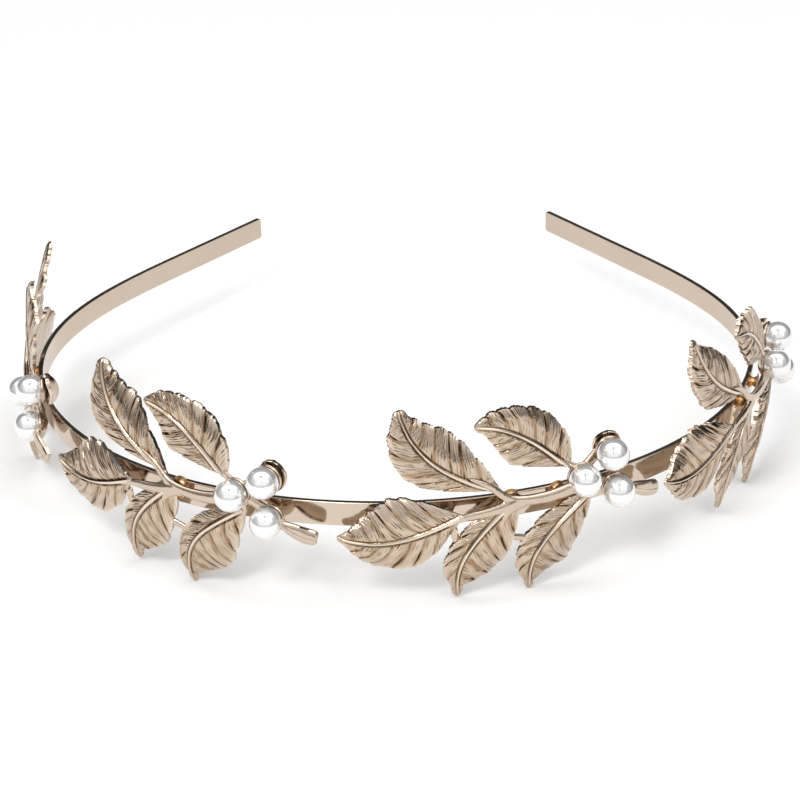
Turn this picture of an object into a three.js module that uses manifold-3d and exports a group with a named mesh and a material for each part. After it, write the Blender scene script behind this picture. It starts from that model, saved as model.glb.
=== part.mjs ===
// Bridal tiara: an open, sprung headband with four cast leaf sprays soldered to its outer face.
// Each spray is one casting of five large and two small leaves with three cups, and each cup
// holds a half-drilled pearl on a peg. Millimetres, +Z up, +Y from the front towards the back,
// standing on z = 0 with the middle of its footprint at the origin.
import * as THREE from 'three';
import { mergeVertices } from 'three/addons/utils/BufferGeometryUtils.js';
import Module from 'manifold-3d';

const wasm = await Module();
wasm.setup();

// ---- Driving dimensions: millimetres and degrees ----

// Headband: a flat strip on edge. "Along" is measured on its outer face from the front centre.
const BAND_HEIGHT = 4.8;
const BAND_THICKNESS = 1;
const BAND_ENDS = [-190.5, 193]; // its two cut ends
const FRONT_RADIUS = 79; // of the wide front bow
const FRONT_BOW_END = 31; // the front radius holds up to here
const CORNER_RADIUS = 53.5; // the tightest bend, behind the ears
const CORNER_AT = 124.5;
const STRAIGHT_FROM = 163.5; // from here the arms run straight to their cut ends
const BAND_STEP = 4; // chord along the bends

// Where each spray's origin sits along the band, and the small tilts of the hand soldering.
const SPRAYS = [
  { along: -100, tilt: [-2.3, 1.7, 2.2] },
  { along: -38, tilt: [-0.4, -0.3, -1.2] },
  { along: 24.5, tilt: [1.8, -2.2, 0.1] },
  { along: 85, tilt: [0.7, 0.6, -0.8] },
];

// Points of the casting are [along the band, out from it, up].
// left and right are the halves of a leaf seen from outside, looking from base to tip: [width,
// the share of the length where it is widest, taper towards base and tip].
// bend and belly bow its midrib to the left and outwards, and roll turns its halves outwards.
const LEAF_THICKNESS = 1;
const LEAVES = [
  { base: [-2.5, 1.6, 3.6], tip: [-20, -3.8, 21.5], bend: 3.4, belly: 0.9,
    left: [5.4, 0.65, 3.2], right: [6.3, 0.55, 2.1], roll: [-3, -6] },
  { base: [9.8, 1.0, 6.2], tip: [-7.4, 0.7, 17.8], bend: -2, belly: 0.3,
    left: [5.3, 0.52, 2.6], right: [5.7, 0.47, 1.5], roll: [6, -9] },
  { base: [-10.5, 2.2, 1.2], tip: [-32.8, -3.5, -1.8], bend: 2.6, belly: 0.5,
    left: [6.1, 0.52, 2.5], right: [7.7, 0.51, 2.2], roll: [0, -12] },
  { base: [-0.9, 2.2, 2.6], tip: [-11.9, 0.3, -16.8], bend: -3.3, belly: 0.9,
    left: [7.2, 0.59, 1.1], right: [3.1, 0.64, 1.5], roll: [0, -10] },
  { base: [13.8, 1.4, 0.8], tip: [1.6, 1.4, -17.6], bend: -3.7, belly: 1.6,
    left: [7.8, 0.63, 1.3], right: [3.4, 0.58, 1.3], roll: [-14, -10] },
  { base: [18.1, -2.4, 4.2], tip: [18.6, -2, 10.3], bend: 0, belly: -1.2,
    left: [3.1, 0.5, 0.7], right: [3, 0.5, 0.7], roll: [25, 25] },
  { base: [21, 1.2, -0.2], tip: [27.8, -0.9, -3.2], bend: -0.4, belly: 0.3,
    left: [2.2, 0.6, 0.9], right: [1.5, 0.5, 0.9], roll: [-8, -8] },
];
const BEND_LATE = 0.4; // how far the bend gathers towards the tip
const STATIONS = 8; // along a leaf
const SIDES = 6; // around a leaf's section

// Stems and struts, by the points that they run through and their radius.
const STEM_FLATNESS = 0.65; // depth over width
const STEMS = [
  { through: [[13, 1.6, 2.6], [5, 2.4, 1.7], [-1.5, 2.4, 2.6], [-5.5, 2, 6]], radius: 1.5 },
  { through: [[0, 2.4, 2], [-5, 2.5, 1], [-10.5, 2.3, 0.6], [-14, 1.9, -0.6]], radius: 1.2 },
  { through: [[1, 2.4, 1.8], [-2, 2.6, 0.6], [-4, 2.8, -2]], radius: 1.2 },
  { through: [[12.6, 0.4, 4], [10.8, 0.9, 6], [7.5, 1.2, 9]], radius: 1.1 },
  { through: [[13, 0.6, 3], [13.6, 1.2, 0.4], [11.5, 2, -2.4]], radius: 1.1 },
  { through: [[12.6, 0.1, 4.2], [15.6, -1.6, 5.6], [18.4, -2.8, 7]], radius: 1.1 },
  { through: [[12.6, 0.3, 3.4], [16, -0.1, 1.5], [19.2, -0.9, -0.2]], radius: 1.1 },
  { through: [[19.2, -0.9, -0.2], [21.4, 0.4, -0.4], [23.4, 0.6, -1]], radius: 0.9 },
  { through: [[-12.4, 1.2, -1.5], [-12, 1.2, -3.8], [-11.4, 1.4, -6.2]], radius: 0.8 },
  { through: [[-2.4, 2.4, -5.1], [-0.4, 2.1, -5.8], [2, 2, -6.8]], radius: 0.7 },
];

// Pearls and their cups. Cups open outwards; a pearl's blind hole takes the cup's peg.
const PEARL_RADIUS = 3;
const PEARL_CENTRES = [[12.3, 3.2, 3.9], [18.3, 1.5, 7.2], [19.1, 2.3, -0.3]];
const FIT_GAP = 0.3;
const CUP_WALL = 0.5;
const CUP_RIM_ANGLE = 50; // from the back of the pearl round to the rim
const PEG_RADIUS = 0.6;
const PEG_LENGTH = 2.2; // inside the pearl
const CUP_STEPS = 3; // in a cup's profile, inside and outside
const PEARL_STEPS = 6; // in a pearl's profile
const ROUND_SIDES = 10; // around a cup or pearl

// Solder joints between the casting's back and the band, by their place along the spray.
const SOLDER = [
  { name: 'fork', along: -1, up: 1.2, castingAt: 1.4, radius: 1.1 },
  { name: 'stem', along: 8, up: 1.3, castingAt: 0.9, radius: 1 },
];

// ---- Finishes ----

const finish = (color, roughness, metalness) =>
  new THREE.MeshStandardMaterial({ color, roughness, metalness });
const POLISHED_PLATING = finish(0xc9a58c, 0.12, 1);
const SATIN_PLATING = finish(0xc7a78d, 0.35, 1);
const PEARL_NACRE = finish(0xf4f1ee, 0.15, 0);
const SOLDER_METAL = finish(0xb39078, 0.4, 1);

// ---- Solids ----

// A point of the casting as a vector: outwards is -Y where a spray faces the front.
const at = ([along, out, up]) => new THREE.Vector3(along, -out, up);

function toManifold(geometry) {
  const bare = geometry.clone();
  for (const name of ['normal', 'uv']) bare.deleteAttribute(name);
  const merged = mergeVertices(bare, 1e-4);
  const corners = merged.index.array;
  const kept = [];
  for (let i = 0; i < corners.length; i += 3) {
    const [a, b, c] = corners.slice(i, i + 3);
    if (a !== b && b !== c && c !== a) kept.push(a, b, c);
  }
  return new wasm.Manifold(new wasm.Mesh({
    numProp: 3,
    vertProperties: new Float32Array(merged.attributes.position.array),
    triVerts: new Uint32Array(kept),
  }));
}

function toGeometry(solid) {
  const mesh = solid.getMesh();
  const geometry = new THREE.BufferGeometry();
  geometry.setAttribute('position', new THREE.BufferAttribute(mesh.vertProperties, 3));
  geometry.setIndex(new THREE.BufferAttribute(mesh.triVerts, 1));
  geometry.computeVertexNormals();
  return geometry;
}

// A closed skin over rings of points, with a single point beyond its first and last ring.
function closedSkin(first, rings, last) {
  const around = rings[0].length;
  const points = [first, ...rings.flat(), last];
  const lastIndex = points.length - 1;
  const faces = [];
  for (let j = 0; j < around; j++) {
    const k = (j + 1) % around;
    faces.push(0, 1 + k, 1 + j);
    for (let i = 0; i < rings.length - 1; i++) {
      const [p, q] = [1 + i * around, 1 + (i + 1) * around];
      faces.push(p + j, q + k, q + j, p + j, p + k, q + k);
    }
    const end = 1 + (rings.length - 1) * around;
    faces.push(end + j, end + k, lastIndex);
  }
  const geometry = new THREE.BufferGeometry();
  geometry.setFromPoints(points);
  geometry.setIndex(faces);
  return geometry;
}

// ---- Headband ----

// The band bends gently across the front, most tightly at its corners, and then runs straight.
function curvature(along) {
  const [front, corner] = [1 / FRONT_RADIUS, 1 / CORNER_RADIUS];
  const { clamp, lerp } = THREE.MathUtils;
  const tightening = clamp((along - FRONT_BOW_END) / (CORNER_AT - FRONT_BOW_END), 0, 1);
  const easing = clamp((STRAIGHT_FROM - along) / (STRAIGHT_FROM - CORNER_AT), 0, 1);
  return lerp(front, corner, tightening) * easing;
}

// Place and heading of the outer face at a distance along the band from its front centre.
function bandStation(along) {
  const steps = Math.max(1, Math.ceil(Math.abs(along)));
  const step = Math.abs(along) / steps;
  let [x, y, heading] = [0, 0, 0];
  for (let i = 0; i < steps; i++) {
    const turn = curvature((i + 0.5) * step) * step;
    x += step * Math.cos(heading + turn / 2);
    y += step * Math.sin(heading + turn / 2);
    heading += turn;
  }
  const side = Math.sign(along);
  return { x: x * side, y, heading: heading * side };
}

function headband() {
  const stations = [BAND_ENDS[0]];
  const bends = Math.round((2 * STRAIGHT_FROM) / BAND_STEP);
  for (let i = 0; i <= bends; i++) {
    stations.push(THREE.MathUtils.lerp(-STRAIGHT_FROM, STRAIGHT_FROM, i / bends));
  }
  stations.push(BAND_ENDS[1]);
  const outer = stations.map(bandStation);
  const inner = outer.map(({ x, y, heading }) => ({
    x: x - BAND_THICKNESS * Math.sin(heading),
    y: y + BAND_THICKNESS * Math.cos(heading),
  }));
  const outline = [...outer, ...inner.reverse()].map(({ x, y }) => new THREE.Vector2(x, y));
  const strip = new THREE.ExtrudeGeometry(new THREE.Shape(outline), {
    depth: BAND_HEIGHT,
    bevelEnabled: false,
  });
  strip.translate(0, 0, -BAND_HEIGHT / 2);
  return strip;
}

// ---- Leaf spray casting ----

// A leaf is a thin lens in section, on a bowed midrib, with each half rolled back or forward.
function leafSolid(leaf) {
  const [base, tip] = [leaf.base, leaf.tip];
  const chord = [0, 1, 2].map((i) => tip[i] - base[i]);
  const across = new THREE.Vector2(-chord[2], chord[0]).normalize();
  const midrib = (u) => {
    const bow = 4 * u * (1 - u);
    const side = leaf.bend * bow * (1 + BEND_LATE * (2 * u - 1));
    return new THREE.Vector3(
      base[0] + chord[0] * u + side * across.x,
      base[1] + chord[1] * u + leaf.belly * bow,
      base[2] + chord[2] * u + side * across.y,
    );
  };
  const halves = [leaf.left, leaf.right].map(([width, widest, taper], i) => {
    const [rise, fall] = [taper * widest, taper * (1 - widest)];
    const peak = widest ** rise * (1 - widest) ** fall;
    const roll = THREE.MathUtils.degToRad(leaf.roll[i]);
    return { sign: 1 - 2 * i, width, roll, share: (u) => (u ** rise * (1 - u) ** fall) / peak };
  });
  const ring = (u) => {
    const centre = midrib(u);
    const ahead = midrib(u + 0.01).sub(midrib(u - 0.01));
    const left = new THREE.Vector2(-ahead.z, ahead.x).normalize();
    return Array.from({ length: SIDES }, (_, j) => {
      const angle = (j / SIDES) * 2 * Math.PI;
      const half = halves[Math.cos(angle) > 0 ? 0 : 1];
      const share = half.share(u);
      const reach = Math.abs(Math.cos(angle)) * share * half.width;
      const side = half.sign * reach * Math.cos(half.roll);
      const thick = (Math.sin(angle) * LEAF_THICKNESS * Math.min(1, 0.4 + share)) / 2;
      return at([
        centre.x + side * left.x,
        centre.y + reach * Math.sin(half.roll) + thick,
        centre.z + side * left.y,
      ]);
    });
  };
  const rings = Array.from({ length: STATIONS }, (_, i) => ring((i + 0.5) / STATIONS));
  return toManifold(closedSkin(at(base), rings, at(tip)));
}

// A stem is a round rod through its points, flattened against the band.
function stemSolid({ through, radius }) {
  const flattened = through.map(([along, out, up]) => at([along, out / STEM_FLATNESS, up]));
  const section = new THREE.Shape().absarc(0, 0, radius, 0, 2 * Math.PI);
  const rod = new THREE.ExtrudeGeometry(section, {
    extrudePath: new THREE.CatmullRomCurve3(flattened),
    steps: 2 * (through.length - 1),
    curveSegments: 3,
    bevelEnabled: false,
  });
  rod.scale(1, STEM_FLATNESS, 1);
  return toManifold(rod);
}

// A lathe profile's axis turned to point outwards, at a place on the casting.
function turned(profile, segments, centre) {
  const points = profile.map(([radius, out]) => new THREE.Vector2(radius, out));
  const body = new THREE.LatheGeometry(points, segments);
  body.rotateX(Math.PI);
  body.translate(...at(centre).toArray());
  return body;
}

const arc = (radius, from, to, count) => Array.from({ length: count + 1 }, (_, i) => {
  const angle = THREE.MathUtils.degToRad(from + ((to - from) * i) / count);
  return [radius * Math.sin(angle), -radius * Math.cos(angle)];
});

// The cup follows the back of its pearl, and its peg runs forward into the pearl's hole.
function cupSolid(centre) {
  const inner = PEARL_RADIUS + FIT_GAP;
  const outer = inner + CUP_WALL;
  const pegAngle = THREE.MathUtils.radToDeg(Math.asin(PEG_RADIUS / inner));
  const pegTop = -PEARL_RADIUS + PEG_LENGTH;
  const profile = [
    ...arc(outer, 0, CUP_RIM_ANGLE, CUP_STEPS),
    ...arc(inner, CUP_RIM_ANGLE, pegAngle, CUP_STEPS),
    [PEG_RADIUS, pegTop],
    [0, pegTop],
  ];
  return toManifold(turned(profile, ROUND_SIDES, centre));
}

// What stems and leaves keep free behind and around a pearl; its cup is added afterwards.
function pearlRoom(centre) {
  const radius = PEARL_RADIUS + FIT_GAP + CUP_WALL / 2;
  const back = arc(radius, 0, CUP_RIM_ANGLE, CUP_STEPS);
  const front = arc(radius, CUP_RIM_ANGLE, 180, PEARL_STEPS);
  return toManifold(turned([...back, ...front.slice(1)], ROUND_SIDES, centre));
}

function sprayCasting() {
  let casting = [...STEMS.map(stemSolid), ...LEAVES.map(leafSolid)].reduce((a, b) => a.add(b));
  for (const centre of PEARL_CENTRES) casting = casting.subtract(pearlRoom(centre));
  for (const centre of PEARL_CENTRES) casting = casting.add(cupSolid(centre));
  return toGeometry(casting);
}

// ---- Pearl ----

function pearl(centre) {
  const hole = PEG_RADIUS + FIT_GAP;
  const mouth = THREE.MathUtils.radToDeg(Math.asin(hole / PEARL_RADIUS));
  const holeTop = -PEARL_RADIUS + PEG_LENGTH + FIT_GAP;
  const profile = [[0, holeTop], [hole, holeTop], ...arc(PEARL_RADIUS, mouth, 180, PEARL_STEPS)];
  return turned(profile, ROUND_SIDES, centre);
}

// ---- Solder joint ----

// A short pad that fills the space between the band's outer face and the casting's back.
function solderPad({ along, up, castingAt, radius }, spray) {
  const here = bandStation(spray.along);
  const there = bandStation(spray.along + along);
  const [dx, dy] = [there.x - here.x, there.y - here.y];
  const [c, s] = [Math.cos(here.heading), Math.sin(here.heading)];
  const bandAt = [dx * c + dy * s, -(dy * c - dx * s), up];
  const thickness = castingAt - bandAt[1] - 2 * FIT_GAP;
  const pad = new THREE.CylinderGeometry(radius, radius, thickness, 12);
  pad.translate(0, -thickness / 2 - FIT_GAP, 0);
  pad.rotateZ(there.heading - here.heading);
  pad.translate(...at(bandAt).toArray());
  return pad;
}

// ---- Assembly ----

function named(name, geometry, material) {
  const mesh = new THREE.Mesh(geometry, material);
  mesh.name = name;
  return mesh;
}

function placedSpray(spray) {
  const station = bandStation(spray.along);
  const group = new THREE.Group();
  group.position.set(station.x, station.y, 0);
  group.rotation.z = station.heading;
  return group;
}

const tiara = new THREE.Group();
tiara.add(named('headband', headband(), POLISHED_PLATING));

const castingShape = sprayCasting();
SPRAYS.forEach((spray, index) => {
  const number = index + 1;
  const place = placedSpray(spray);
  const tilted = new THREE.Group();
  const tilt = new THREE.Vector3(...spray.tilt.map(THREE.MathUtils.degToRad));
  tilted.quaternion.setFromAxisAngle(tilt.clone().normalize(), tilt.length());
  tilted.add(named(`leaf_spray_${number}`, castingShape, SATIN_PLATING));
  PEARL_CENTRES.forEach((centre, i) => {
    const name = `pearl_${number}_${['inner', 'top', 'outer'][i]}`;
    tilted.add(named(name, pearl(centre), PEARL_NACRE));
  });
  place.add(tilted);
  for (const pad of SOLDER) {
    place.add(named(`solder_${number}_${pad.name}`, solderPad(pad, spray), SOLDER_METAL));
  }
  tiara.add(place);
});

// Stand it on z = 0 with the middle of its footprint at the origin.
const bounds = new THREE.Box3().setFromObject(tiara, true);
const middle = bounds.getCenter(new THREE.Vector3());
tiara.position.set(-middle.x, -middle.y, -bounds.min.z);

export default tiara;
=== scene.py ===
"""Bridal tiara: a polished open headband, four cast leaf sprays and twelve pearls in cups."""

import math

import bmesh
import bpy
import numpy as np
from mathutils import Matrix, Vector


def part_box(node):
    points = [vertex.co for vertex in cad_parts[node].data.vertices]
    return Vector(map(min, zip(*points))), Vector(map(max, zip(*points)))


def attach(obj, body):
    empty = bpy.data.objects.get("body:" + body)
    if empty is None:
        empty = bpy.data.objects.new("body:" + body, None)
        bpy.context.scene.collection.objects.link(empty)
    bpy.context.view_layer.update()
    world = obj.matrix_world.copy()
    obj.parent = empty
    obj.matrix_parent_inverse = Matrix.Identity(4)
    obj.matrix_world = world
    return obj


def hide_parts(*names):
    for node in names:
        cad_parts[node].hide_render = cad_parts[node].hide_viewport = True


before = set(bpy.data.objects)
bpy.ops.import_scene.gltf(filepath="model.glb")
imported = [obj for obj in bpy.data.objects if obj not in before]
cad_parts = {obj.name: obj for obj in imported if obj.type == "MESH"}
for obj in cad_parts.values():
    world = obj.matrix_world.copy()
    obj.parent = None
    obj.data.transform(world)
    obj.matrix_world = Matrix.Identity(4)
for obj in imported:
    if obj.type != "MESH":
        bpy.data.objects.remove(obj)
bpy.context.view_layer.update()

MM = 0.001

# ---- The design's own dimensions, in millimetres and degrees ----

# The band's curve, measured along its outer face from the front centre.
BAND_THICKNESS = 1.0
BAND_ENDS = (-190.5, 193.0)
FRONT_RADIUS = 79.0
FRONT_BOW_END = 31.0
CORNER_RADIUS = 53.5
CORNER_AT = 124.5
STRAIGHT_FROM = 163.5
BAND_STEP = 1.0
BAND_EDGE = 0.16  # radius of the strip's long edges
BAND_END_CORNER = 0.45  # radius of the corners at its cut ends
CORNER_STEPS = 6  # points round each long edge

SPRAYS = [
    {"along": -100.0, "tilt": (-2.3, 1.7, 2.2)},
    {"along": -38.0, "tilt": (-0.4, -0.3, -1.2)},
    {"along": 24.5, "tilt": (1.8, -2.2, 0.1)},
    {"along": 85.0, "tilt": (0.7, 0.6, -0.8)},
]

# Points of a casting are (along the band, out from it, up).
# left and right are a leaf's halves seen from outside, looking from base to tip: (width, the
# share of the length where it is widest, taper). nose is the half width of its rounded tip,
# reach is the share of the length where the blade ends and a drip tip begins.
BEND_LATE = 0.4
LEAVES = [
    dict(base=(-2.5, 1.6, 3.6), tip=(-20.0, -3.8, 21.5), bend=3.4, belly=0.9,
         left=(5.4, 0.65, 3.2), right=(6.3, 0.55, 2.1), roll=(-3, -6), nose=1.9, reach=1.0,
         lobes=7, striae=46),
    dict(base=(9.8, 1.0, 6.2), tip=(-7.4, 0.7, 17.8), bend=-2.0, belly=0.3,
         left=(5.3, 0.52, 2.6), right=(5.7, 0.47, 1.5), roll=(6, -9), nose=1.1, reach=1.0,
         lobes=7, striae=40),
    dict(base=(-10.5, 2.2, 1.2), tip=(-32.8, -3.5, -1.8), bend=2.6, belly=0.5,
         left=(6.1, 0.52, 2.5), right=(8.0, 0.51, 2.2), roll=(0, -12), nose=0.9, reach=1.0,
         lobes=8, striae=44),
    dict(base=(-0.9, 2.2, 2.6), tip=(-11.9, 0.3, -16.8), bend=-3.3, belly=0.9,
         left=(7.2, 0.59, 1.1), right=(3.1, 0.64, 1.5), roll=(0, -10), nose=1.15, reach=0.92,
         lobes=7, striae=42),
    dict(base=(13.8, 1.4, 0.8), tip=(1.6, 1.4, -17.6), bend=-3.7, belly=1.6,
         left=(7.8, 0.63, 1.3), right=(3.4, 0.58, 1.3), roll=(-14, -10), nose=1.0, reach=0.94,
         lobes=7, striae=42),
    dict(base=(18.1, -2.4, 4.2), tip=(18.6, -2.0, 10.3), bend=0.0, belly=-1.2,
         left=(2.9, 0.5, 0.7), right=(2.8, 0.5, 0.7), roll=(25, 25), nose=0.6, reach=1.0,
         lobes=0, striae=12),
    dict(base=(21.0, 1.2, -0.2), tip=(27.8, -0.9, -3.2), bend=-0.4, belly=0.3,
         left=(1.7, 0.74, 0.7), right=(1.3, 0.74, 0.7), roll=(-14, -8), nose=0.4, reach=1.0,
         lobes=0, striae=9),
]

STEM_FLATNESS = 0.65
STEMS = [
    dict(through=[(13, 1.6, 2.6), (5, 2.4, 1.7), (-1.5, 2.4, 2.6), (-5.5, 2, 6), (-9, 1.5, 8)],
         radius=(1.5, 0.36)),
    dict(through=[(0, 2.4, 2), (-5, 2.5, 1), (-10.5, 2.3, 0.6), (-14, 1.9, -0.6)],
         radius=(1.35, 0.42)),
    dict(through=[(1, 2.4, 1.8), (-2, 2.6, 0.6), (-4, 2.8, -2)], radius=(1.2, 0.42)),
    dict(through=[(12.6, 0.4, 4), (10.8, 0.9, 6), (7.5, 1.2, 9)], radius=(1.2, 0.38)),
    dict(through=[(13, 0.6, 3), (13.6, 1.2, 0.4), (11.5, 2, -2.4)], radius=(1.2, 0.42)),
    dict(through=[(12.6, 0.1, 4.2), (15.6, -1.6, 5.6), (18.4, -2.8, 7)], radius=(1.1, 1.1)),
    dict(through=[(12.6, 0.3, 3.4), (16, -0.1, 1.5), (19.2, -0.9, -0.2)], radius=(1.1, 1.1)),
    dict(through=[(19.2, -0.9, -0.2), (21.4, 0.4, -0.4), (23.4, 0.6, -1)], radius=(0.9, 0.6)),
    dict(through=[(-12.4, 1.2, -1.5), (-12, 1.2, -3.8), (-11.4, 1.4, -6.2)], radius=(0.8, 0.7)),
    dict(through=[(-2.4, 2.4, -5.1), (-0.4, 2.1, -5.8), (2, 2, -6.8)], radius=(0.7, 0.7)),
]

PEARL_RADIUS = 3.0
PEARL_CENTRES = {
    "inner": (12.3, 3.2, 3.9),
    "top": (18.3, 1.5, 7.2),
    "outer": (19.1, 2.3, -0.3),
}
FIT_GAP = 0.06  # glue line between a pearl and its cup
CUP_WALL = 0.5
CUP_RIM_ANGLE = 50.0
PEG_RADIUS = 0.6
PEG_LENGTH = 2.2

# ---- Where the design sits in the frame ----

band_low, band_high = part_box("headband")
ORIGIN = Vector(((band_low.x + band_high.x) / 2, band_low.y, (band_low.z + band_high.z) / 2))
BAND_HEIGHT = (band_high.z - band_low.z) / MM


def metres(point):
    """A design point in millimetres as a place in the frame."""
    return ORIGIN + Vector(point) * MM


# ---- Mesh helpers ----

SHARP = math.radians(55)  # edges bent more than this stay crisp


def make_object(name, points, faces, materials, matrix=None, attribute=None):
    """A smooth closed mesh object from millimetre points, with its faces turned outwards."""
    mesh = bpy.data.meshes.new(name)
    mesh.from_pydata((np.asarray(points) * MM).tolist(), [], faces)
    if attribute is not None:
        # the relief attribute carries painted tone, not height: painted shade in the grooves and
        # painted highlights on the ridges
        layer = mesh.attributes.new("relief", "FLOAT", "POINT")
        layer.data.foreach_set("value", np.asarray(attribute, dtype=np.float32))
    shape = bmesh.new()
    shape.from_mesh(mesh)
    bmesh.ops.recalc_face_normals(shape, faces=shape.faces)
    shape.to_mesh(mesh)
    shape.free()
    mesh.shade_smooth()
    mesh.set_sharp_from_angle(angle=SHARP)
    return place(name, mesh, materials, matrix)


def place(name, mesh, materials, matrix=None):
    """An object showing a mesh, moved to its place in the frame point by point."""
    mesh.materials.clear()
    for material in materials:
        mesh.materials.append(material)
    if matrix is not None:
        mesh.transform(matrix)
    made = bpy.data.objects.new(name, mesh)
    bpy.context.scene.collection.objects.link(made)
    return made


def tube_faces(rings, around, offset=0, capped=True):
    """Quads between rings of points, with a cap over the first and last ring."""
    faces = []
    for i in range(rings - 1):
        for j in range(around):
            k = (j + 1) % around
            a, b = offset + i * around, offset + (i + 1) * around
            faces.append((a + j, a + k, b + k, b + j))
    if capped:
        faces.append(tuple(offset + j for j in reversed(range(around))))
        faces.append(tuple(offset + (rings - 1) * around + j for j in range(around)))
    return faces


def lathe(profile, segments):
    """A turned solid about the out axis: profile points are (radius, out), ends on the axis."""
    points, faces = [(0.0, -profile[0][1], 0.0)], []
    for radius, out in profile[1:-1]:
        for j in range(segments):
            angle = 2 * math.pi * j / segments
            points.append((radius * math.cos(angle), -out, radius * math.sin(angle)))
    points.append((0.0, -profile[-1][1], 0.0))
    rings, last = len(profile) - 2, len(points) - 1
    faces += tube_faces(rings, segments, offset=1, capped=False)
    for j in range(segments):
        k = (j + 1) % segments
        faces.append((0, 1 + k, 1 + j))
        faces.append((last, last - segments + j, last - segments + k))
    return np.array(points), faces


def arc(radius, start, end, count, centre=(0.0, 0.0)):
    """Profile points on an arc; the angle turns from straight back towards the rim."""
    angles = np.radians(np.linspace(start, end, count + 1))
    return [
        (centre[0] + radius * math.sin(a), centre[1] - radius * math.cos(a)) for a in angles
    ]


def spline(points, count):
    """Points on a Catmull-Rom curve through the given points."""
    p = np.array(points, dtype=float)
    p = np.vstack([2 * p[0] - p[1], p, 2 * p[-1] - p[-2]])
    made = []
    for t in np.linspace(0, len(points) - 1, count):
        i = min(int(t), len(points) - 2)
        f = t - i
        a, b, c, d = p[i:i + 4]
        made.append(0.5 * (2 * b + (c - a) * f + (2 * a - 5 * b + 4 * c - d) * f**2
                           + (3 * b - a - 3 * c + d) * f**3))
    return np.array(made)


# ---- Headband ----

def curvature(along):
    """The band's curvature at a distance along it from the front centre."""
    tightening = np.clip((along - FRONT_BOW_END) / (CORNER_AT - FRONT_BOW_END), 0, 1)
    easing = np.clip((STRAIGHT_FROM - along) / (STRAIGHT_FROM - CORNER_AT), 0, 1)
    front, corner = 1 / FRONT_RADIUS, 1 / CORNER_RADIUS
    return (front + (corner - front) * tightening) * easing


def band_station(along):
    """Place and heading of the band's outer face."""
    steps = max(1, math.ceil(abs(along)))
    step = abs(along) / steps
    turns = curvature((np.arange(steps) + 0.5) * step) * step
    headings = np.concatenate([[0.0], np.cumsum(turns)])
    middles = headings[:-1] + turns / 2
    side = math.copysign(1, along)
    return step * np.cos(middles).sum() * side, step * np.sin(middles).sum(), headings[-1] * side


def band_section(half_height):
    """The strip's rounded section as (depth behind the outer face, height) points."""
    r, t = BAND_EDGE, BAND_THICKNESS
    support = 0.25 * r
    points = []
    corners = [(r, -half_height + r, 180), (r, half_height - r, 90),
               (t - r, half_height - r, 0), (t - r, -half_height + r, -90)]
    for depth, height, start in corners:
        for angle in np.radians(np.linspace(start + 90, start, CORNER_STEPS)):
            points.append((depth + r * math.cos(angle), height + r * math.sin(angle)))
    flats = []
    for i, point in enumerate(points):
        flats.append(point)
        if i % CORNER_STEPS == CORNER_STEPS - 1:
            nxt = np.array(points[(i + 1) % len(points)])
            here = np.array(point)
            way = (nxt - here) / np.linalg.norm(nxt - here)
            flats += [tuple(here + way * support), tuple(nxt - way * support)]
    return flats


def headband(material):
    """The sprung strip, swept along its curve, with rounded corners at its cut ends."""
    low, high = BAND_ENDS
    inner = list(np.arange(math.ceil(low + 2), high - 1.5, BAND_STEP))
    ease = [BAND_END_CORNER * (1 - math.cos(a)) for a in np.linspace(0.12, math.pi / 2, 8)]
    stations = [low + e for e in ease] + inner + [high - e for e in reversed(ease)]
    points, around = [], 0
    for along in stations:
        x, y, heading = band_station(along)
        short = BAND_END_CORNER - min(along - low, high - along, BAND_END_CORNER)
        drop = BAND_END_CORNER - math.sqrt(max(BAND_END_CORNER**2 - short**2, 0))
        section = band_section(BAND_HEIGHT / 2 - drop)
        around = len(section)
        for depth, height in section:
            points.append((x - depth * math.sin(heading), y + depth * math.cos(heading), height))
    faces = tube_faces(len(stations), around)
    band = make_object("polished_band", points, faces, [material], Matrix.Translation(ORIGIN))
    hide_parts("headband")
    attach(band, "root")


# ---- Leaves ----

LEAF_STEPS = 250  # along a large leaf
SMALL_LEAF_STEPS = 62  # along a small one
FRONT_STEPS = 23  # from its midrib to its margin, on the front
BACK_STEPS = 8  # the same, on the back
SWEEP = 0.8  # how far the side veins run forward
BLADE_THICKNESS = 0.95
MARGIN_THICKNESS = 0.75

TOOTH = 0.72  # how far the lobes stand out at the margin
SERRATION = 0.16  # and the fine teeth on them
LEAF_SWAY = 0.42  # how far the margin waves in and out
SMALL_LEAF_SWAY = 0.12
RIB_HEIGHT = 0.24
SMALL_RIB = 0.4  # a small leaf's midrib, as a share of a large one's
GUTTER_DEPTH = 0.16  # beside the midrib
VALLEY_DEPTH = 0.11  # along the side veins
NICK_DEPTH = 0.24  # where a vein meets the notch between two lobes
FINE_DEPTH = 0.1  # fine grooves between the veins
DEEP_DEPTH = 0.17  # deeper grooves near the midrib
BACK_ECHO = 0.6  # how much of the valleys shows on the back
BACK_TONE = -0.12


def ripple(u, v, seed):
    """Smooth irregular variation between -1 and 1."""
    return (np.sin(17.3 * u + 5.1 * v + seed) + np.sin(-9.7 * u + 12.9 * v + 2.3 * seed)
            + np.sin(31.1 * u - 7.7 * v + 0.7 * seed)) / 3


def smooth(value, low, high):
    """A smooth step from 0 at low to 1 at high."""
    t = np.clip((value - low) / (high - low), 0, 1)
    return t * t * (3 - 2 * t)


def half_width(leaf, s, half):
    """Half width of the blade at a share of the leaf's length."""
    width, widest, taper = leaf[half]
    rise, fall = taper * widest, taper * (1 - widest)
    blade = np.clip(s / leaf["reach"], 0, 1)
    return width * blade**rise * (1 - blade)**fall / (widest**rise * (1 - widest)**fall)


def leaf_length(leaf):
    """Straight length of a leaf, seen from outside."""
    return math.hypot(leaf["tip"][0] - leaf["base"][0], leaf["tip"][2] - leaf["base"][2])


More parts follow.
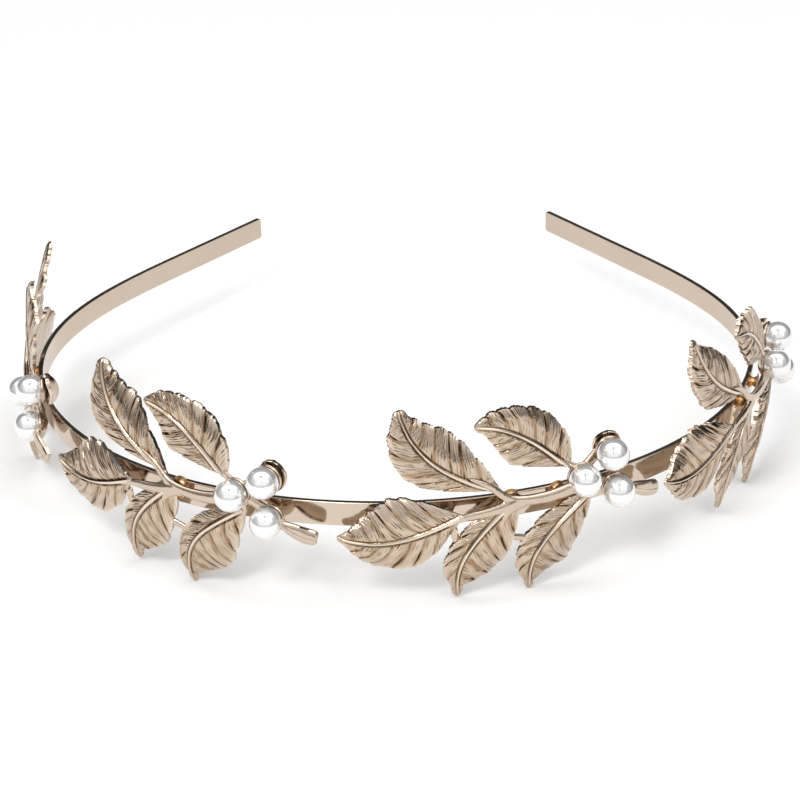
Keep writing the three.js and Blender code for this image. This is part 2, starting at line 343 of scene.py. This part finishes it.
def midrib(leaf, s):
    """Points on a leaf's bowed centre line at shares of its length."""
    base, tip = np.array(leaf["base"]), np.array(leaf["tip"])
    chord = tip - base
    across = np.array([-chord[2], chord[0]]) / leaf_length(leaf)
    bow = 4 * s * (1 - s)
    side = leaf["bend"] * bow * (1 + BEND_LATE * (2 * s - 1))
    return np.stack([
        base[0] + chord[0] * s + side * across[0],
        base[1] + chord[1] * s + leaf["belly"] * bow,
        base[2] + chord[2] * s + side * across[1],
    ], axis=-1)


def veined_grid(leaf, across_steps):
    """For a grid that follows the side veins: where each vein starts along the midrib (u), how
    far out on it a point is (v, from -1 to 1), and how far along the leaf that is (s)."""
    steps = LEAF_STEPS if leaf["lobes"] else SMALL_LEAF_STEPS
    eased = 0.5 - 0.5 * np.cos(np.linspace(0, math.pi, steps + 1))
    line = 0.3 * eased + 0.7 * np.linspace(0, 1, steps + 1)
    t = np.linspace(-1, 1, 2 * across_steps + 1)
    u, t = np.meshgrid(0.004 + 0.9955 * line, t, indexing="ij")
    v = np.sign(t) * (0.45 * np.abs(t) + 0.55 * t**2)
    return u, v, u + SWEEP * np.abs(v) * u**0.8 * (1 - u)**1.2


def fullness(width):
    """1 where the blade is broad, falling to 0 where it narrows to nothing."""
    return np.clip(width / 2.5, 0, 1)


def outline(leaf, seed, u, v, s):
    """Half width of the blade, distance from the midrib, and the count of lobes passed."""
    width = np.where(v > 0, half_width(leaf, s, "left"), half_width(leaf, s, "right"))
    to_tip, nose = (1 - s) * leaf_length(leaf), leaf["nose"]
    round_end = nose * np.sqrt(1 - np.clip(1 - to_tip / (1.3 * nose), 0, 1) ** 2)
    width = np.maximum(width, np.where(to_tip < 4.5 * nose, round_end * (1 - 0.06 * to_tip), 0))
    turn = u * leaf["lobes"] + 0.22 * ripple(u, 0 * v, seed) + 0.5 * (v > 0)
    away, lobe = np.abs(v), turn % 1
    x = away * width
    if leaf["lobes"]:
        uneven = 0.65 + 0.35 * np.sin(2.4 * np.floor(turn) + seed + 2.0 * (v > 0))
        tooth = TOOTH * uneven * (lobe**0.7 * (1 - lobe**8) - 0.45)
        saw = (u * leaf["striae"] * 0.6 + 0.3 * ripple(u, v, seed)) % 1 - 0.5
        x = x + (tooth * away**6 + SERRATION * saw * away**8) * fullness(width)
    return width, x, turn


def undulation(leaf, seed, u, v, width, turn):
    """How far the blade swells beside its midrib and waves towards its margin."""
    away, plump = np.abs(v), np.clip(width / 6, 0.1, 1.1)
    sway = LEAF_SWAY if leaf["lobes"] else SMALL_LEAF_SWAY
    wave = np.sin(2 * math.pi * (1.9 * u + 0.21 * seed + 0.3 * (v > 0)))
    swell = 0.3 * np.sin(math.pi * away**0.8) - 0.35 * away**4
    puffs = 0.1 * np.cos(2 * math.pi * (turn % 1)) if leaf["lobes"] else 0
    return (swell + (sway * wave + puffs) * away**2) * plump


def off_rib(x, width):
    """1 on the open blade, 0 on the midrib and at the narrow ends."""
    return smooth(x, 0.3, 0.8) * fullness(width)


def side_valleys(x, width, turn):
    """Share of their depth that the valleys along the side veins reach."""
    near_notch = np.minimum(turn % 1, 1 - turn % 1)
    return np.exp(-(near_notch / 0.16) ** 2) * off_rib(x, width)


def engraving(leaf, seed, u, v, s, x, width, turn):
    """Relief of a leaf's front, from its midrib, veins and grooves, and the painted tone that goes
    with it: painted shade in the grooves, painted highlights on the midrib and margin.
    """
    away, full, inside = np.abs(v), fullness(width), off_rib(x, width)
    rib_width = 0.4 - 0.22 * s
    rib = np.exp(-(x / rib_width) ** 4) * np.sqrt(np.clip((1 - s) / 0.08, 0, 1))
    # painted highlight along the margin
    rim = 0.7 * away**12 * full
    if not leaf["lobes"]:
        rib = SMALL_RIB * rib
        # a small leaf's tone is a painted highlight on its midrib and margin
        return RIB_HEIGHT * rib, 0.6 * rib + rim
    gutter = np.exp(-((x - 1.6 * rib_width) / 0.17) ** 2) * full
    valley = side_valleys(x, width, turn)
    near_notch = np.minimum(turn % 1, 1 - turn % 1)
    nick_from = 0.62 + 0.22 * np.sin(1.7 * np.floor(turn + 0.5) + 2.1 * seed + (v > 0))
    nick = np.exp(-(near_notch / 0.06) ** 2) * smooth(away, nick_from, nick_from + 0.2) * full
    quick = math.pi * (u * leaf["striae"] + 1.1 * ripple(0.8 * u, 0.5 * v, seed))
    slow = math.pi * (u * leaf["striae"] * 0.57 + 0.9 * ripple(u, 0.4 * v, seed + 3))
    patches = smooth(ripple(1.6 * u, 1.2 * v, seed + 4), -0.45, 0.5)
    others = smooth(ripple(1.9 * u, -1.5 * v, seed + 7), -0.5, 0.55)
    fine = (1 - np.abs(np.sin(quick))) ** 1.5 * (0.2 + 0.8 * patches)
    deep = (1 - np.abs(np.sin(slow))) ** 2.5 * others * (1 - 0.7 * away)
    cut = (VALLEY_DEPTH * valley + NICK_DEPTH * nick + GUTTER_DEPTH * gutter
           + (FINE_DEPTH * fine + DEEP_DEPTH * deep) * inside)
    # painted shade in the side valleys, nicks, fine and deep grooves and the gutters beside the
    # midrib, less painted highlight on the midrib and margin
    dark = (0.35 * valley + 0.7 * nick + 0.35 * fine + 0.8 * deep) * inside + 0.9 * gutter
    return RIB_HEIGHT * rib - cut * (1 - away**16), 0.6 * rib + rim - dark


def leaf_sheet(leaf, seed, across_steps, front):
    """Grid of points on one face of a leaf, and its painted tone: painted shade in the grooves and
    painted highlights on the ridges of the front, a flat tone on the back.
    """
    u, v, s = veined_grid(leaf, across_steps)
    width, x, turn = outline(leaf, seed, u, v, s)
    thinning = 1 - (1 - MARGIN_THICKNESS / BLADE_THICKNESS) * np.abs(v)**3
    thick = BLADE_THICKNESS / 2 * thinning * np.clip(width / 1.2, 0.5, 1)
    out = undulation(leaf, seed, u, v, width, turn)
    if front:
        relief, tone = engraving(leaf, seed, u, v, s, x, width, turn)
        out = out + thick + relief
    else:
        valley = side_valleys(x, width, turn) if leaf["lobes"] else 0
        out = out - thick + BACK_ECHO * VALLEY_DEPTH * valley
        tone = np.full(u.shape, BACK_TONE)

    ahead = (midrib(leaf, s + 0.01) - midrib(leaf, s - 0.01))[..., [0, 2]]
    ahead /= np.linalg.norm(ahead, axis=-1, keepdims=True)
    centre = midrib(leaf, s)
    roll = np.radians(np.where(v > 0, leaf["roll"][0], leaf["roll"][1]))
    side = np.sign(v) * x * np.cos(roll)
    points = np.stack([
        centre[..., 0] - side * ahead[..., 1],
        -(centre[..., 1] + x * np.sin(roll) + out),
        centre[..., 2] + side * ahead[..., 0],
    ], axis=-1)
    return points, np.clip(tone, -1, 1)


def leaf_shell(leaf, seed):
    """Points, faces and painted tone (painted shade in the grooves, painted highlights on the
    ridges) of one closed leaf, in the casting's coordinates.
    """
    fronts, front_painted_tone = leaf_sheet(leaf, seed, FRONT_STEPS, True)
    backs, back_tone = leaf_sheet(leaf, seed, BACK_STEPS, False)
    faces, offset = [], 0
    for sheet, flip in ((fronts, False), (backs, True)):
        rows, columns = sheet.shape[:2]
        for i in range(rows - 1):
            for j in range(columns - 1):
                a = offset + i * columns + j
                quad = (a, a + 1, a + columns + 1, a + columns)
                faces.append(quad[::-1] if flip else quad)
        offset += rows * columns
    rows, front, back = fronts.shape[0], fronts.shape[1], backs.shape[1]
    count = rows * front
    for column_f, column_b, step in ((0, 0, 1), (front - 1, back - 1, -1)):
        for i in range(rows - 1):
            a, b = i * front + column_f, (i + 1) * front + column_f
            c, d = count + (i + 1) * back + column_b, count + i * back + column_b
            faces.append((a, b, c, d)[::step])
    for i in (0, rows - 1):
        ring = [i * front + j for j in range(front)]
        ring += [count + i * back + j for j in reversed(range(back))]
        faces.append(tuple(ring if i else ring[::-1]))
    points = np.vstack([fronts.reshape(-1, 3), backs.reshape(-1, 3)])
    return points, faces, np.concatenate([front_painted_tone.ravel(), back_tone.ravel()])


def joined(shells):
    """Several shells as one list of points, faces and painted tone values."""
    points, faces, painted_tones, offset = [], [], [], 0
    for shell in shells:
        points.append(shell[0])
        faces += [tuple(offset + k for k in face) for face in shell[1]]
        painted_tones.append(shell[2] if len(shell) > 2 else np.zeros(len(shell[0])))
        offset += len(shell[0])
    return np.vstack(points), faces, np.concatenate(painted_tones)


# ---- Stems ----

STEM_VOXEL = 0.2
STEM_SIDES = 16
STEM_STATIONS = 26


def stem_tube(stem):
    """One flattened, tapering rod with a rounded end."""
    path = spline(stem["through"], STEM_STATIONS)
    start, end = stem["radius"]
    points = []
    for i, centre in enumerate(path):
        share = i / (STEM_STATIONS - 1)
        ahead = path[min(i + 1, STEM_STATIONS - 1)] - path[max(i - 1, 0)]
        ahead[1] = 0
        ahead /= np.linalg.norm(ahead)
        close = min(share, 1 - share) * 12
        radius = (start + (end - start) * share) * math.sqrt(min(1, 0.3 + close))
        for j in range(STEM_SIDES):
            angle = 2 * math.pi * j / STEM_SIDES
            side, out = radius * math.cos(angle), radius * STEM_FLATNESS * math.sin(angle)
            points.append((centre[0] - side * ahead[2], -(centre[1] + out),
                           centre[2] + side * ahead[0]))
    return np.array(points), tube_faces(STEM_STATIONS, STEM_SIDES)


def stem_mesh(material):
    """All stems and struts of a casting, melted together with fillets where they meet."""
    points, faces, _ = joined([stem_tube(stem) for stem in STEMS])
    raw = make_object("stems_raw", points, faces, [material])
    melt = raw.modifiers.new("melt", "REMESH")
    melt.mode = "VOXEL"
    melt.voxel_size = STEM_VOXEL * MM
    soften = raw.modifiers.new("soften", "SMOOTH")
    soften.iterations = 4
    fine = raw.modifiers.new("fine", "SUBSURF")
    fine.levels = fine.render_levels = 1
    graph = bpy.context.evaluated_depsgraph_get()
    mesh = bpy.data.meshes.new_from_object(raw.evaluated_get(graph), depsgraph=graph)
    mesh.name = "stems"
    bpy.data.objects.remove(raw)
    mesh.shade_smooth()
    return mesh


# ---- Cups and pearls ----

CUP_SIDES = 56  # around a cup
PEARL_SIDES = 72  # around a pearl

def cup_shell(centre):
    """A thin cup behind a pearl, with a rolled rim and the peg that the pearl is glued on."""
    inner = PEARL_RADIUS + FIT_GAP
    outer = inner + CUP_WALL
    middle = (inner + outer) / 2
    rim = math.radians(CUP_RIM_ANGLE)
    rim_centre = (middle * math.sin(rim), -middle * math.cos(rim))
    peg = math.degrees(math.asin(PEG_RADIUS / inner))
    peg_top = -PEARL_RADIUS + PEG_LENGTH
    profile = arc(outer, 0, CUP_RIM_ANGLE, 14)
    roll = arc(CUP_WALL / 2, CUP_RIM_ANGLE, CUP_RIM_ANGLE + 180, 8, rim_centre)
    profile += roll[1:-1]
    profile += arc(inner, CUP_RIM_ANGLE, peg, 14)
    profile += [(PEG_RADIUS, peg_top - 0.15), (PEG_RADIUS - 0.15, peg_top), (0, peg_top)]
    points, faces = lathe(profile, CUP_SIDES)
    return points + np.array([centre[0], -centre[1], centre[2]]), faces


def pearl_shell(centre):
    """A round pearl, half drilled from the back for its peg."""
    hole = PEG_RADIUS + FIT_GAP
    mouth = math.degrees(math.asin((hole + 0.12) / PEARL_RADIUS))
    top = -PEARL_RADIUS + PEG_LENGTH + FIT_GAP
    lip = -PEARL_RADIUS * math.cos(math.radians(mouth))
    profile = [(0, top), (hole * 0.7, top - 0.02), (hole, top - 0.2), (hole, lip + 0.15)]
    profile += arc(PEARL_RADIUS, mouth, 180, 44)
    points, faces = lathe(profile, PEARL_SIDES)
    return points + np.array([centre[0], -centre[1], centre[2]]), faces


# ---- Solder ----

SOLDER = [
    dict(name="fork", along=-1.0, up=1.2, casting_at=1.4, radius=1.1),
    dict(name="stem", along=8.0, up=1.3, casting_at=0.9, radius=1.0),
]
SOLDER_FLARE = 0.9  # how much wider the joint is where it wets the metal
SOLDER_BITE = 0.15  # how far it reaches into the metal on each side
SOLDER_SIDES = 32  # around a joint


def solder(material):
    """Each joint as a waisted fillet that wets the band's face and the casting's back."""
    for number, spray in enumerate(SPRAYS, start=1):
        x, y, heading = band_station(spray["along"])
        for joint in SOLDER:
            band_x, band_y, band_heading = band_station(spray["along"] + joint["along"])
            away = (band_x - x) * math.sin(heading) - (band_y - y) * math.cos(heading)
            span = joint["casting_at"] - away + 2 * SOLDER_BITE
            profile = [(0, -SOLDER_BITE)]
            for share in np.linspace(0, 1, 15):
                waist = joint["radius"] * (0.9 + SOLDER_FLARE * abs(2 * share - 1) ** 2.5)
                profile.append((waist, span * share - SOLDER_BITE))
            profile.append((0, span - SOLDER_BITE))
            points, faces = lathe(profile, SOLDER_SIDES)
            at = metres((band_x, band_y, joint["up"]))
            matrix = Matrix.Translation(at) @ Matrix.Rotation(band_heading, 4, "Z")
            fillet = make_object(f"fillet_{number}_{joint['name']}", points, faces, [material],
                                 matrix)
            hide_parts(f"solder_{number}_{joint['name']}")
            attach(fillet, "root")


# ---- Materials ----

def shader(name):
    """A new node material with its principled shader."""
    material = bpy.data.materials.new(name)
    material.use_nodes = True
    tree = material.node_tree
    return material, tree, tree.nodes["Principled BSDF"]


def noise(tree, scale, detail=3.0, roughness=0.55):
    """Noise in the object's own space."""
    place_at = tree.nodes.new("ShaderNodeTexCoord")
    made = tree.nodes.new("ShaderNodeTexNoise")
    made.inputs["Scale"].default_value = scale
    made.inputs["Detail"].default_value = detail
    made.inputs["Roughness"].default_value = roughness
    tree.links.new(place_at.outputs["Object"], made.inputs["Vector"])
    return made.outputs["Fac"]


def spread(tree, value, low, high, start=0.0, end=1.0):
    """A value mapped from start..end to low..high, and held within that."""
    made = tree.nodes.new("ShaderNodeMapRange")
    made.inputs["From Min"].default_value = start
    made.inputs["From Max"].default_value = end
    made.inputs["To Min"].default_value = low
    made.inputs["To Max"].default_value = high
    tree.links.new(value, made.inputs["Value"])
    return made.outputs["Result"]


def ramp(tree, value, stops):
    """A colour ramp over a value."""
    made = tree.nodes.new("ShaderNodeValToRGB")
    elements = made.color_ramp.elements
    while len(elements) < len(stops):
        elements.new(0.5)
    for element, (position, color) in zip(elements, stops):
        element.position = position
        element.color = (*color, 1)
    tree.links.new(value, made.inputs["Fac"])
    return made.outputs["Color"]


def bump(tree, height, strength, distance):
    """A bump from a height between 0 and 1; the distance is its depth in metres."""
    made = tree.nodes.new("ShaderNodeBump")
    made.inputs["Strength"].default_value = strength
    made.inputs["Distance"].default_value = distance
    tree.links.new(height, made.inputs["Height"])
    return made.outputs["Normal"]


def polished_plating():
    """Mirror plating on rolled strip, faintly wavy and with a warm, slightly uneven tint."""
    material, tree, surface = shader("polished champagne plating")
    surface.inputs["Metallic"].default_value = 1.0
    tint = ramp(tree, noise(tree, 60, 2), [(0.35, (0.57, 0.47, 0.38)), (0.7, (0.61, 0.505, 0.41))])
    tree.links.new(tint, surface.inputs["Base Color"])
    tree.links.new(spread(tree, noise(tree, 220, 4), 0.05, 0.14, 0.3, 0.7),
                   surface.inputs["Roughness"])
    tree.links.new(bump(tree, noise(tree, 45, 2), 0.25, 0.0004), surface.inputs["Normal"])
    return material


def satin_plating():
    """Satin plating on a casting, finely grained, with painted shade in the veins and grooves and
    painted highlights on the ridges.
    """
    material, tree, surface = shader("satin champagne plating")
    surface.inputs["Metallic"].default_value = 1.0
    # the relief attribute is painted tone: its dark end is painted shade in the grooves, its bright
    # end painted highlights on the midrib and margin
    relief = tree.nodes.new("ShaderNodeAttribute")
    relief.attribute_name = "relief"
    # dark stops for painted shade, the middle for the plating's own colour, the top stop for
    # painted highlight
    stops = [(0.0, (0.06, 0.038, 0.025)), (0.28, (0.33, 0.215, 0.13)), (0.5, (0.59, 0.48, 0.38)),
             (0.62, (0.63, 0.52, 0.415)), (1.0, (0.90, 0.80, 0.68))]
    tone = spread(tree, relief.outputs["Fac"], 0.0, 1.0, -1.0, 1.0)
    tree.links.new(ramp(tree, tone, stops), surface.inputs["Base Color"])
    tree.links.new(spread(tree, noise(tree, 500, 4), 0.1, 0.24, 0.3, 0.7),
                   surface.inputs["Roughness"])
    tree.links.new(bump(tree, noise(tree, 2600, 3), 0.35, 0.00006), surface.inputs["Normal"])
    return material


def pearl_lacquer():
    """Pearl lacquer: a lustrous, milky body under a clear gloss, with a slight change of tint."""
    material, tree, surface = shader("white pearl lacquer")
    tint = ramp(tree, noise(tree, 90, 1), [(0.3, (0.86, 0.845, 0.83)), (0.7, (0.88, 0.875, 0.875))])
    tree.links.new(tint, surface.inputs["Base Color"])
    surface.inputs["Metallic"].default_value = 0.62
    surface.inputs["Roughness"].default_value = 0.13
    surface.inputs["Subsurface Weight"].default_value = 0.15
    surface.inputs["Subsurface Radius"].default_value = (0.9, 0.8, 0.75)
    surface.inputs["Subsurface Scale"].default_value = 0.001
    surface.inputs["Coat Weight"].default_value = 1.0
    surface.inputs["Coat Roughness"].default_value = 0.03
    surface.inputs["Coat IOR"].default_value = 1.6
    tree.links.new(bump(tree, noise(tree, 700, 2), 0.1, 0.00002), surface.inputs["Normal"])
    return material


def solder_metal():
    """Dull plated solder with a grainy skin."""
    material, tree, surface = shader("plated solder")
    surface.inputs["Metallic"].default_value = 1.0
    tint = ramp(tree, noise(tree, 900, 3), [(0.3, (0.55, 0.34, 0.16)), (0.7, (0.72, 0.49, 0.27))])
    tree.links.new(tint, surface.inputs["Base Color"])
    surface.inputs["Roughness"].default_value = 0.28
    tree.links.new(bump(tree, noise(tree, 1800, 3), 0.4, 0.00008), surface.inputs["Normal"])
    return material


# ---- Sprays ----

def spray_matrix(spray):
    """Where a casting's own origin and axes sit in the frame."""
    x, y, heading = band_station(spray["along"])
    tilt = Vector([math.radians(a) for a in spray["tilt"]])
    return (Matrix.Translation(metres((x, y, 0))) @ Matrix.Rotation(heading, 4, "Z")
            @ Matrix.Rotation(tilt.length, 4, tilt.normalized()))


def sprays(plating, lacquer):
    """The castings, all from one mould, with their pearls."""
    points, faces, painted_tones = joined([leaf_shell(leaf, seed) for seed, leaf in enumerate(LEAVES)])
    # the leaves carry their painted shade and painted highlight tone in the relief attribute
    leaves = make_object("leaves", points, faces, [plating], attribute=painted_tones)
    cups = make_object("cups", *joined([cup_shell(c) for c in PEARL_CENTRES.values()])[:2],
                       [plating])
    stems = stem_mesh(plating)
    pearls = {key: make_object(key, *pearl_shell(c), [lacquer])
              for key, c in PEARL_CENTRES.items()}
    for number, spray in enumerate(SPRAYS, start=1):
        matrix = spray_matrix(spray)
        casting = f"leaf_spray_{number}"
        for label, mesh in (("leaves", leaves.data), ("stems", stems), ("cups", cups.data)):
            piece = place(f"spray_{number}_{label}", mesh.copy(), [plating], matrix)
            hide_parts(casting)
            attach(piece, "root")
        for key, pattern in pearls.items():
            piece = place(f"bead_{number}_{key}", pattern.data.copy(), [lacquer], matrix)
            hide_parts(f"pearl_{number}_{key}")
            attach(piece, "root")
    for pattern in (leaves, cups, *pearls.values()):
        bpy.data.objects.remove(pattern)


# ---- Stage ----

FLOOR_REACH = 4000  # millimetres from its middle to each side


def floor():
    """A plain pale floor, far wider than the tiara."""
    far = FLOOR_REACH
    points = [(-far, -far, 0), (far, -far, 0), (far, far, 0), (-far, far, 0)]
    material, tree, surface = shader("pale floor")
    surface.inputs["Base Color"].default_value = (0.95, 0.95, 0.95, 1)
    surface.inputs["Roughness"].default_value = 0.9
    surface.inputs["Specular IOR Level"].default_value = 0.1
    mesh = bpy.data.meshes.new("floor")
    mesh.from_pydata([Vector(p) * MM for p in points], [], [(0, 1, 2, 3)])
    place("floor", mesh, [material])


def soft_light(name, at, size, power, target=(0, 60, 15)):
    """A rectangular studio softbox aimed at a target; places are design millimetres."""
    data = bpy.data.lights.new(name, "AREA")
    data.shape = "RECTANGLE"
    data.size, data.size_y = size[0] * MM, size[1] * MM
    data.energy = power
    lamp = bpy.data.objects.new(name, data)
    bpy.context.scene.collection.objects.link(lamp)
    lamp.location = metres(at)
    aim = metres(target) - lamp.location
    lamp.rotation_euler = aim.to_track_quat("-Z", "Y").to_euler()


def math_node(tree, operation, first, second):
    """A math node on two numbers or sockets."""
    made = tree.nodes.new("ShaderNodeMath")
    made.operation = operation
    for slot, value in zip(made.inputs, (first, second)):
        if isinstance(value, (int, float)):
            slot.default_value = value
        else:
            tree.links.new(value, slot)
    return made.outputs[0]


def band_mask(tree, value, middle, half):
    """1 where a value is within half of the middle, falling smoothly to 0."""
    off = math_node(tree, "ABSOLUTE", math_node(tree, "SUBTRACT", value, middle), 0)
    return spread(tree, off, 1, 0, half * 0.8, half * 1.2)


# Brightness of the parts of the light tent.
TENT_WALL = 0.9
TENT_TOP = 2.3
TENT_SIDES = 0.3  # share of the light left at the far left and right
TENT_SKIRT = 0.32  # share left in the strip along the horizon, below the tent's walls
ROOM = 0.07  # share left behind, where the tent is open to the room
BOOM_SHADE = 0.85  # share of the light that the boom takes away

# Where they lie, as parts of a unit vector that points towards them. A pair is where a change
# starts and ends, and a bar or head is (middle, half its size) across and from front to back.
TOP_HEIGHT = (0.6, 0.85)
SKIRT_HEIGHT = (0.05, 0.26)
SIDES_WIDTH = (0.55, 0.9)
ROOM_DEPTH = (-0.05, 0.12)
ROOM_LEAN = 0.4  # how much further back the opening starts overhead
BOOM_HEIGHT = (0.3, 0.35)
BOOM_BAR = ((-0.02, 0.08), (-0.56, 0.26))
BOOM_HEAD = ((-0.05, 0.19), (-0.27, 0.17))


def tent(tree, x, z):
    """The white tent, brightest overhead and dimmer at its sides and along the horizon."""
    level = spread(tree, z, TENT_WALL, TENT_TOP, *TOP_HEIGHT)
    skirt = spread(tree, z, TENT_SKIRT, 1, *SKIRT_HEIGHT)
    sides = spread(tree, math_node(tree, "ABSOLUTE", x, 0), 1, TENT_SIDES, *SIDES_WIDTH)
    return math_node(tree, "MULTIPLY", math_node(tree, "MULTIPLY", level, skirt), sides)


def patch(tree, x, y, across, along):
    """1 inside a rectangle with soft edges, 0 outside it."""
    return math_node(tree, "MULTIPLY", band_mask(tree, x, *across), band_mask(tree, y, *along))


def boom(tree, x, y, z):
    """Shade of the boom that carries a lamp over the table: a bar with a head."""
    shape = math_node(tree, "MAXIMUM", patch(tree, x, y, *BOOM_BAR), patch(tree, x, y, *BOOM_HEAD))
    overhead = spread(tree, z, 0, BOOM_SHADE, *BOOM_HEIGHT)
    return math_node(tree, "MULTIPLY", shape, overhead)


def studio():
    """A light tent, open to a dark room behind, with two small softboxes in it."""
    scene = bpy.context.scene
    world = bpy.data.worlds.new("studio")
    scene.world = world
    world.use_nodes = True
    tree = world.node_tree
    way = tree.nodes.new("ShaderNodeSeparateXYZ")
    tree.links.new(tree.nodes.new("ShaderNodeTexCoord").outputs["Generated"], way.inputs[0])
    x, y, z = way.outputs
    depth = math_node(tree, "SUBTRACT", y, math_node(tree, "MULTIPLY", z, ROOM_LEAN))
    shade = spread(tree, depth, 0, 1 - ROOM, *ROOM_DEPTH)
    shade = math_node(tree, "MAXIMUM", shade, boom(tree, x, y, z))
    level = math_node(tree, "MULTIPLY", tent(tree, x, z), math_node(tree, "SUBTRACT", 1, shade))
    background = tree.nodes["Background"]
    background.inputs["Color"].default_value = (1.0, 1.0, 1.0, 1)
    tree.links.new(level, background.inputs["Strength"])
    soft_light("key", (-130, -300, 400), (130, 130), 0.8, target=(0, -150, 0))
    soft_light("fill", (420, -300, 380), (100, 160), 0.15)
    scene.view_settings.view_transform = "Standard"


CAMERA_AT = (21.4, -360.1, 205.3)
CAMERA_PITCH = 26.8
CAMERA_YAW = 2.79
CAMERA_ROLL = -1.82
LENS = 103.5
SENSOR = 36.0


def camera():
    """A long lens in front and a little above, tipped down at the front of the band."""
    data = bpy.data.cameras.new("camera")
    data.lens, data.sensor_width = LENS, SENSOR
    data.clip_start, data.clip_end = 0.01, 20
    made = bpy.data.objects.new("camera", data)
    bpy.context.scene.collection.objects.link(made)
    made.matrix_world = (
        Matrix.Translation(metres(CAMERA_AT))
        @ Matrix.Rotation(math.radians(CAMERA_YAW), 4, "Z")
        @ Matrix.Rotation(math.radians(90 - CAMERA_PITCH), 4, "X")
        @ Matrix.Rotation(math.radians(CAMERA_ROLL), 4, "Z")
    )
    bpy.context.scene.camera = made


# ---- Build ----

camera()
floor()
studio()
plating = satin_plating()
headband(polished_plating())
sprays(plating, pearl_lacquer())
solder(solder_metal())
